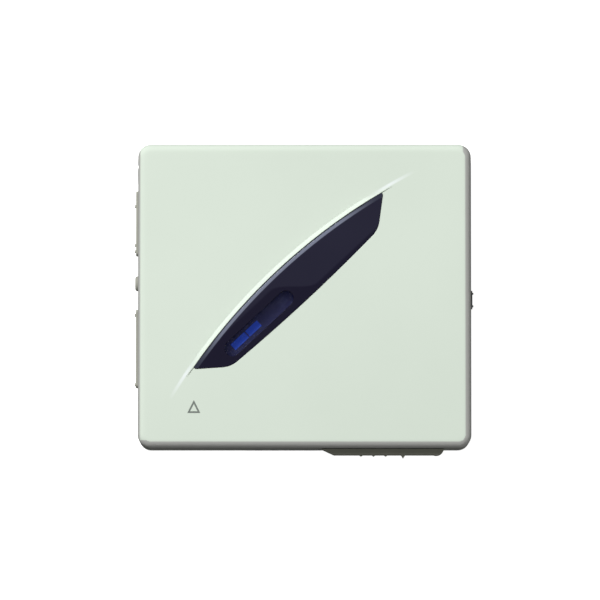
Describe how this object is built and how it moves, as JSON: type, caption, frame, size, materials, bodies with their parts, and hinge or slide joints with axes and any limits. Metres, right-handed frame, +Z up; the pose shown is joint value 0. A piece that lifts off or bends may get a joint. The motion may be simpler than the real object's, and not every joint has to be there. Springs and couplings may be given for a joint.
{
  "type": "portable minidisc player",
  "caption": "Palm-sized square disc player with a rear-hinged lid, a long slanted window, side keys and a front open slider; a loaded cartridge rises with the lid.",
  "frame": {"origin": "centre of the flat face that the player rests on, under the middle of the 79 x 72 mm case", "axes": "+X to the right seen from above with the hinge away from you, +Y towards the hinge, +Z up through the lid"},
  "size_m": [0.0806, 0.0743, 0.0172],
  "materials": {
    "lid_finish": "satin pale mint-silver paint",
    "case_finish": "fine satin grey",
    "blade_gloss": "deep navy gloss",
    "smoked_clear": "smoked clear plastic",
    "steel": "bright sheet and turned steel",
    "dark_screw": "black-zinc screws",
    "black_plastic": "moulded black",
    "grey_plastic": "moulded mid grey",
    "key_silver": "silver-painted plastic",
    "cartridge_shell": "dark translucent shell",
    "label_paper": "printed paper label",
    "disc_mirror": "iridescent disc",
    "brass": "turned brass",
    "white_plastic": "white acetal gear",
    "board_green": "solder-masked board",
    "chip_black": "moulded chip bodies",
    "can_silver": "capacitor cans",
    "rubber": "soft damper rubber",
    "gold": "gold-plated contacts",
    "lens_glass": "coated objective lens",
    "cell_wrap": "plain shrink-wrapped cell"
  },
  "bodies": {
    "base": {"bottom_panel": "case_finish", "side_frame": "case_finish", "side_screws": "dark_screw", "bottom_screws": "dark_screw", "hinge_pins": "steel", "spindle_motor": "steel", "sled_motor": "steel", "screw_bearings": "black_plastic", "guide_rods": "steel", "rod_clips": "grey_plastic", "mechanism_plate": "steel", "battery_cover": "black_plastic", "damper_bushes": "rubber", "chassis_screws": "dark_screw", "main_board": "board_green", "board_chips": "chip_black", "board_capacitors": "can_silver", "headphone_jack": "black_plastic", "jack_ring": "steel", "battery": "cell_wrap", "battery_contacts": "gold", "battery_divider": "black_plastic", "front_terminal": "black_plastic", "terminal_pads": "gold", "key_bracket": "black_plastic", "key_domes": "steel"},
    "lid": {"lid_shell": "lid_finish", "blade_lens": "blade_gloss", "disc_window": "smoked_clear"},
    "holder": {"disc_holder": "steel"},
    "cartridge": {"cartridge_lower": "cartridge_shell", "cartridge_upper": "cartridge_shell", "cartridge_label": "label_paper", "shutter": "steel"},
    "disc": {"mini_disc": "disc_mirror", "disc_hub": "steel"},
    "spindle": {"turntable": "black_plastic"},
    "sled": {"pickup_sled": "grey_plastic"},
    "focus_lens": {"lens_carrier": "black_plastic", "objective_lens": "lens_glass"},
    "drive_screw": {"lead_screw": "steel", "screw_gear": "white_plastic"},
    "pinion": {"motor_pinion": "brass", "motor_shaft": "steel"},
    "open_slider": {"open_knob": "key_silver", "latch_strip": "steel"},
    "track_rocker": {"track_key": "key_silver"},
    "volume_rocker": {"volume_key": "key_silver"},
    "play_cap": {"play_button": "key_silver"},
    "hold_knob": {"hold_switch": "black_plastic"},
    "battery_flap": {"battery_door": "case_finish"}
  },
  "joints": [
    {"name": "lid_hinge", "type": "hinge", "parent": "base", "child": "lid", "pos_m": [0, 0.0336, 0.013], "axis": [-1, 0, 0], "range_deg": [0, 30]},
    {"name": "holder_hinge", "type": "hinge", "parent": "base", "child": "holder", "pos_m": [0, 0.0336, 0.013], "axis": [-1, 0, 0], "range_deg": [0, 24.2]},
    {"name": "cartridge_slide", "type": "slide", "parent": "holder", "child": "cartridge", "axis": [0, -1, 0], "range_m": [0, 0.00245]},
    {"name": "disc_spin", "type": "hinge", "parent": "cartridge", "child": "disc", "pos_m": [0, -0.0002, 0.0113], "axis": [0, 0, 1], "continuous": true},
    {"name": "spindle_spin", "type": "hinge", "parent": "base", "child": "spindle", "pos_m": [0, -0.0002, 0.01], "axis": [0, 0, 1], "continuous": true},
    {"name": "sled_slide", "type": "slide", "parent": "base", "child": "sled", "axis": [1, 0, 0], "range_m": [0, 0.016]},
    {"name": "focus_slide", "type": "slide", "parent": "sled", "child": "focus_lens", "axis": [0, 0, 1], "range_m": [-0.0002, 0.00025], "stiffness_N_per_m": 60},
    {"name": "screw_turn", "type": "hinge", "parent": "base", "child": "drive_screw", "pos_m": [0.0064, 0.0135, 0.0049], "axis": [1, 0, 0], "range_deg": [0, 2880.5]},
    {"name": "pinion_turn", "type": "hinge", "parent": "base", "child": "pinion", "pos_m": [0.0064, 0.0174, 0.0049], "axis": [1, 0, 0], "continuous": true},
    {"name": "open_slide", "type": "slide", "parent": "base", "child": "open_slider", "axis": [1, 0, 0], "range_m": [0, 0.004], "stiffness_N_per_m": 150, "springref_m": -0.001},
    {"name": "track_rock", "type": "hinge", "parent": "base", "child": "track_rocker", "pos_m": [-0.03785, 0.0178, 0.0065], "axis": [0, 0, 1], "range_deg": [-2.5, 2.5], "stiffness_Nm_per_rad": 0.05},
    {"name": "volume_rock", "type": "hinge", "parent": "base", "child": "volume_rocker", "pos_m": [-0.03785, -0.0121, 0.0065], "axis": [0, 0, 1], "range_deg": [-2, 2], "stiffness_Nm_per_rad": 0.05},
    {"name": "play_press", "type": "slide", "parent": "base", "child": "play_cap", "axis": [1, 0, 0], "range_m": [0, 0.00025], "stiffness_N_per_m": 400},
    {"name": "hold_slide", "type": "slide", "parent": "base", "child": "hold_knob", "axis": [0, 1, 0], "range_m": [0, 0.002]},
    {"name": "battery_door_hinge", "type": "hinge", "parent": "base", "child": "battery_flap", "pos_m": [0.03895, -0.01675, 0.0048], "axis": [0, 0, 1], "range_deg": [0, 90]}
  ],
  "couplings": [
    {"joint": "holder_hinge", "follows": "lid_hinge", "ratio": 0.8},
    {"joint": "cartridge_slide", "follows": "lid_hinge", "m_per_rad": 0.0045837},
    {"joint": "spindle_spin", "follows": "disc_spin", "ratio": 1},
    {"joint": "screw_turn", "follows": "sled_slide", "rad_per_m": 3141.6},
    {"joint": "pinion_turn", "follows": "sled_slide", "rad_per_m": -5026.5}
  ]
}
